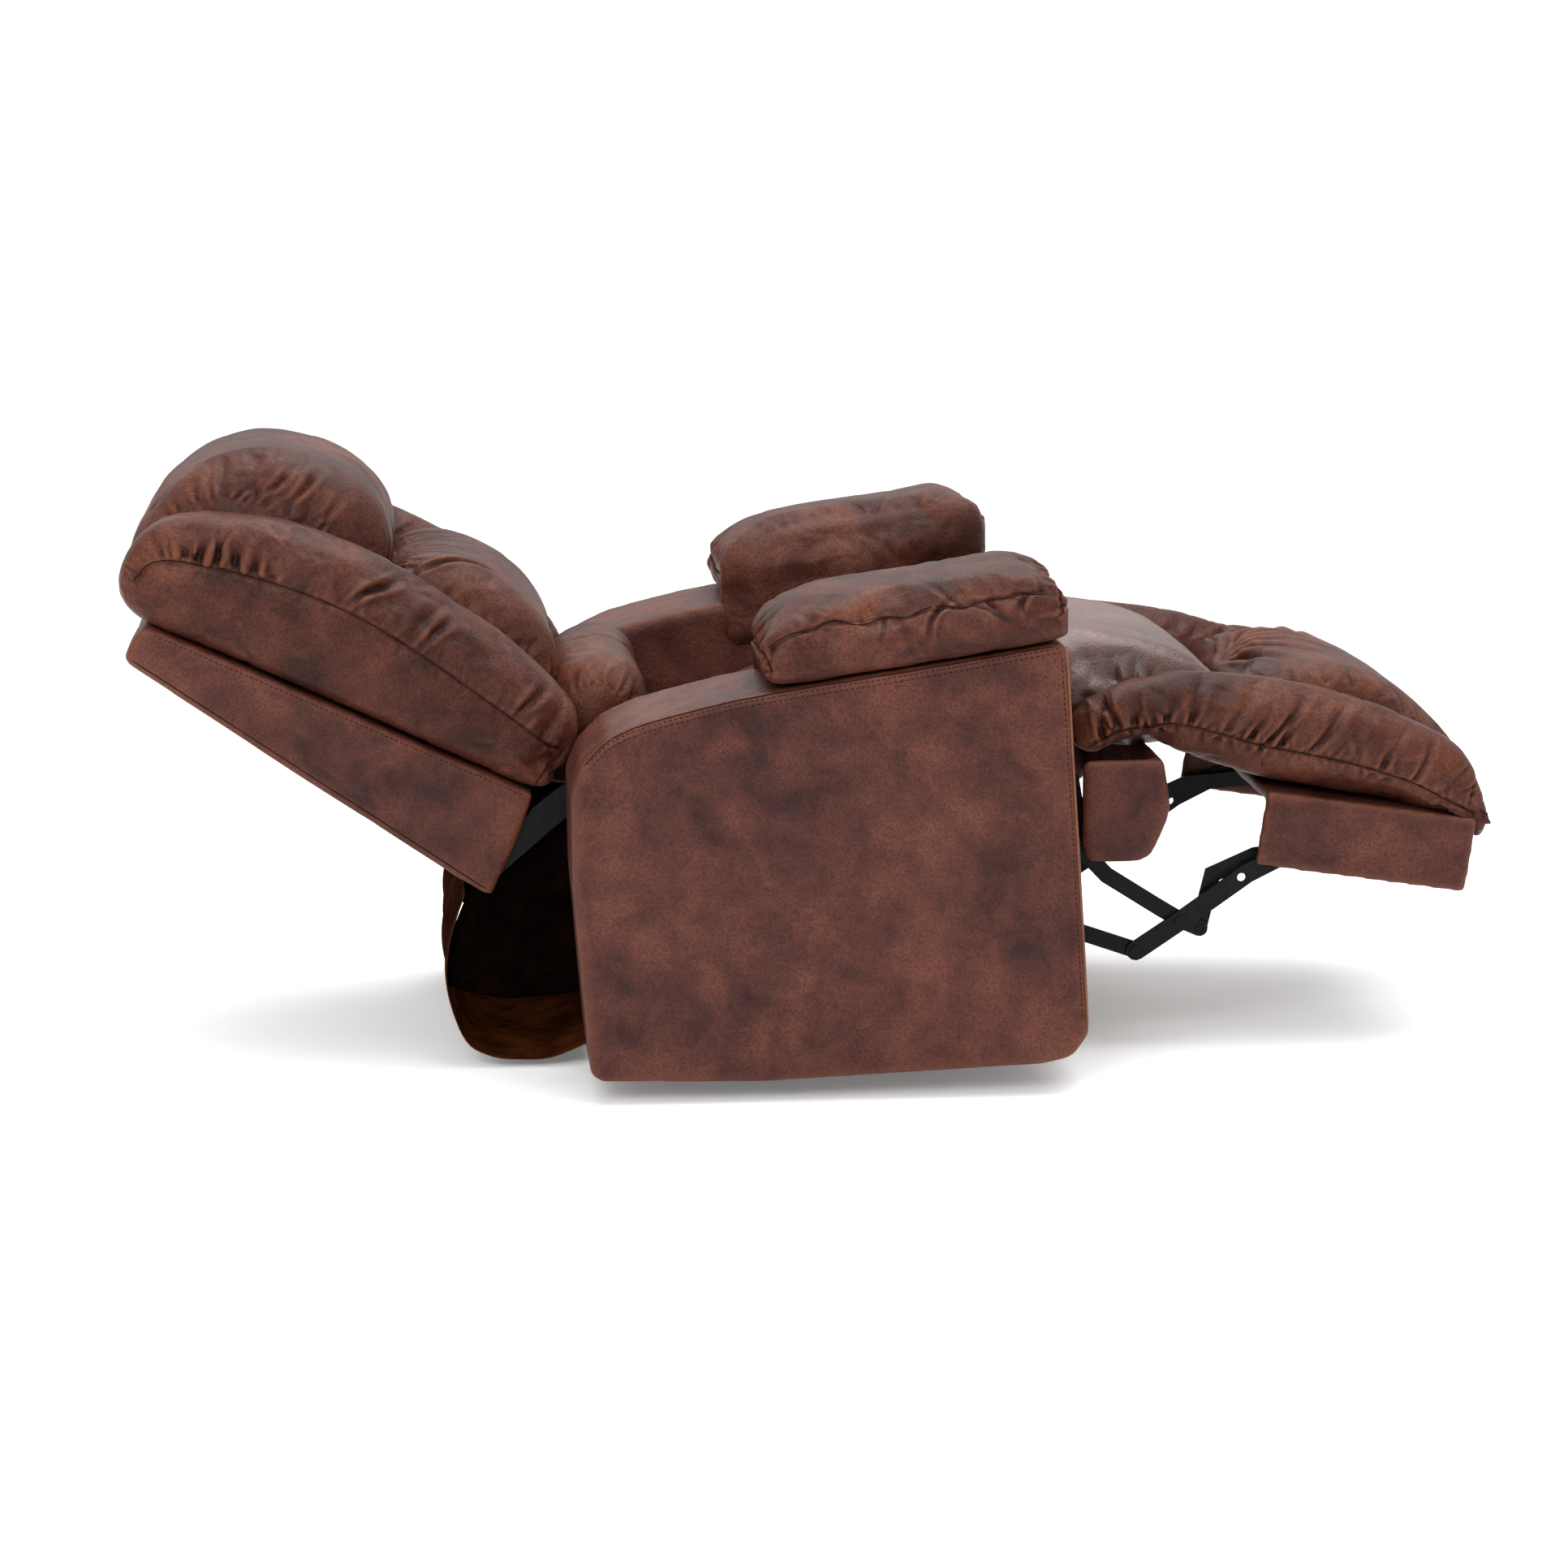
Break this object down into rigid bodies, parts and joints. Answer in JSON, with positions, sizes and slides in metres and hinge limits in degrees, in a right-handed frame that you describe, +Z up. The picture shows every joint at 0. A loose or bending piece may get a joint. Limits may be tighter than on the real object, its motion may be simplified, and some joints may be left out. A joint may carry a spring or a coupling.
{
  "type": "recliner armchair",
  "caption": "Rocker recliner armchair, drawn reclined: two padded arm boxes, three-pillow back between bolsters, padded chaise seat and a fold-out footrest on steel links.",
  "frame": {"origin": "middle of the open chair's footprint, on the floor", "axes": "+X towards the feet, +Y to the sitter's left, +Z up; rest pose is fully reclined with the footrest out"},
  "size_m": [1.798, 1.01, 0.8141],
  "materials": {
    "panel_leather": "mottled brown bonded leather with fine pebble grain, satin",
    "cushion_leather": "mottled brown bonded leather, softer, with gathered seams, satin",
    "black_steel": "black powder coat, semi-gloss",
    "spring_steel": "bright spring wire",
    "frame_wood": "raw plywood and hardwood",
    "flap_backing": "loose leather cover, brown outside with an orange-brown suede back",
    "glide_rubber": "matte black"
  },
  "bodies": {
    "base": {"base_runner_right": "frame_wood", "base_runner_left": "frame_wood", "glide_front_right": "glide_rubber", "glide_rear_right": "glide_rubber", "glide_front_left": "glide_rubber", "glide_rear_left": "glide_rubber", "base_front_rail": "frame_wood", "base_mid_rail": "frame_wood", "base_rear_rail": "frame_wood", "rocker_spring_right": "spring_steel", "rocker_spring_left": "spring_steel"},
    "chassis": {"arm_outer_panel_right": "panel_leather", "arm_inner_panel_right": "panel_leather", "arm_front_panel_right": "panel_leather", "arm_top_right": "panel_leather", "arm_pad_right": "cushion_leather", "rocker_right": "frame_wood", "seat_track_right": "black_steel", "arm_outer_panel_left": "panel_leather", "arm_inner_panel_left": "panel_leather", "arm_front_panel_left": "panel_leather", "arm_top_left": "panel_leather", "arm_pad_left": "cushion_leather", "rocker_left": "frame_wood", "seat_track_left": "black_steel", "mid_stretcher": "frame_wood", "rear_stretcher": "frame_wood", "rear_flap": "flap_backing"},
    "back": {"back_panel": "panel_leather", "back_top_rail": "frame_wood", "back_bottom_rail": "frame_wood", "back_deck": "frame_wood", "head_pillow": "cushion_leather", "middle_pillow": "cushion_leather", "lower_pillow": "cushion_leather", "back_side_right": "panel_leather", "back_bracket_right": "black_steel", "back_bolster_right": "cushion_leather", "back_side_left": "panel_leather", "back_bracket_left": "black_steel", "back_bolster_left": "cushion_leather"},
    "seat": {"seat_plate_right": "black_steel", "seat_plate_left": "black_steel", "seat_rear_rail": "frame_wood", "seat_front_rail": "panel_leather", "seat_deck": "frame_wood", "seat_cushion": "cushion_leather"},
    "footrest": {"footrest_frame": "panel_leather", "footrest_board": "frame_wood", "footrest_pad": "cushion_leather", "footrest_bracket_right": "black_steel", "footrest_bracket_left": "black_steel"},
    "link_a_right": {"link_a_right": "black_steel"},
    "link_a_left": {"link_a_left": "black_steel"},
    "link_b_right": {"link_b_right": "black_steel"},
    "link_b_left": {"link_b_left": "black_steel"},
    "link_c_right": {"link_c_right": "black_steel"},
    "link_c_left": {"link_c_left": "black_steel"},
    "link_d_right": {"link_d_right": "black_steel"},
    "link_d_left": {"link_d_left": "black_steel"}
  },
  "joints": [
    {"name": "rock", "type": "hinge", "parent": "base", "child": "chassis", "pos_m": [-0.02556, 0, 0.072], "axis": [0, 1, 0], "range_deg": [0, 5.5], "stiffness_Nm_per_rad": 400, "springref_deg": -2.86},
    {"name": "back_recline", "type": "hinge", "parent": "chassis", "child": "back", "pos_m": [-0.23056, 0, 0.415], "axis": [0, 1, 0], "range_deg": [0, 43], "deforming": ["rear_flap"]},
    {"name": "seat_slide", "type": "slide", "parent": "chassis", "child": "seat", "axis": [0.9903, 0, 0.1392], "range_m": [-0.17, 0]},
    {"name": "footrest_fold", "type": "hinge", "parent": "seat", "child": "footrest", "pos_m": [0.61444, 0, 0.395], "axis": [0, 1, 0], "range_deg": [0, 78]},
    {"name": "link_a_swing_right", "type": "hinge", "parent": "seat", "child": "link_a_right", "pos_m": [0.28544, 0, 0.242], "axis": [0, 1, 0], "range_deg": [0, 78]},
    {"name": "link_c_swing_right", "type": "hinge", "parent": "seat", "child": "link_c_right", "pos_m": [0.34544, 0, 0.282], "axis": [0, 1, 0], "range_deg": [0, 78]},
    {"name": "link_b_pivot_right", "type": "hinge", "parent": "link_c_right", "child": "link_b_right", "pos_m": [0.48544, 0, 0.177], "axis": [0, 1, 0], "range_deg": [-78, 0]},
    {"name": "link_d_pivot_right", "type": "hinge", "parent": "link_c_right", "child": "link_d_right", "pos_m": [0.51244, 0, 0.165], "axis": [0, 1, 0], "range_deg": [-78, 0]},
    {"name": "link_a_swing_left", "type": "hinge", "parent": "seat", "child": "link_a_left", "pos_m": [0.28544, 0, 0.242], "axis": [0, 1, 0], "range_deg": [0, 78]},
    {"name": "link_c_swing_left", "type": "hinge", "parent": "seat", "child": "link_c_left", "pos_m": [0.34544, 0, 0.282], "axis": [0, 1, 0], "range_deg": [0, 78]},
    {"name": "link_b_pivot_left", "type": "hinge", "parent": "link_c_left", "child": "link_b_left", "pos_m": [0.48544, 0, 0.177], "axis": [0, 1, 0], "range_deg": [-78, 0]},
    {"name": "link_d_pivot_left", "type": "hinge", "parent": "link_c_left", "child": "link_d_left", "pos_m": [0.51244, 0, 0.165], "axis": [0, 1, 0], "range_deg": [-78, 0]}
  ],
  "couplings": [
    {"joint": "seat_slide", "follows": "back_recline", "m_per_rad": -0.2265},
    {"joint": "link_a_swing_right", "follows": "footrest_fold", "ratio": 1},
    {"joint": "link_c_swing_right", "follows": "footrest_fold", "ratio": 1},
    {"joint": "link_b_pivot_right", "follows": "footrest_fold", "ratio": -1},
    {"joint": "link_d_pivot_right", "follows": "footrest_fold", "ratio": -1},
    {"joint": "link_a_swing_left", "follows": "footrest_fold", "ratio": 1},
    {"joint": "link_c_swing_left", "follows": "footrest_fold", "ratio": 1},
    {"joint": "link_b_pivot_left", "follows": "footrest_fold", "ratio": -1},
    {"joint": "link_d_pivot_left", "follows": "footrest_fold", "ratio": -1}
  ]
}
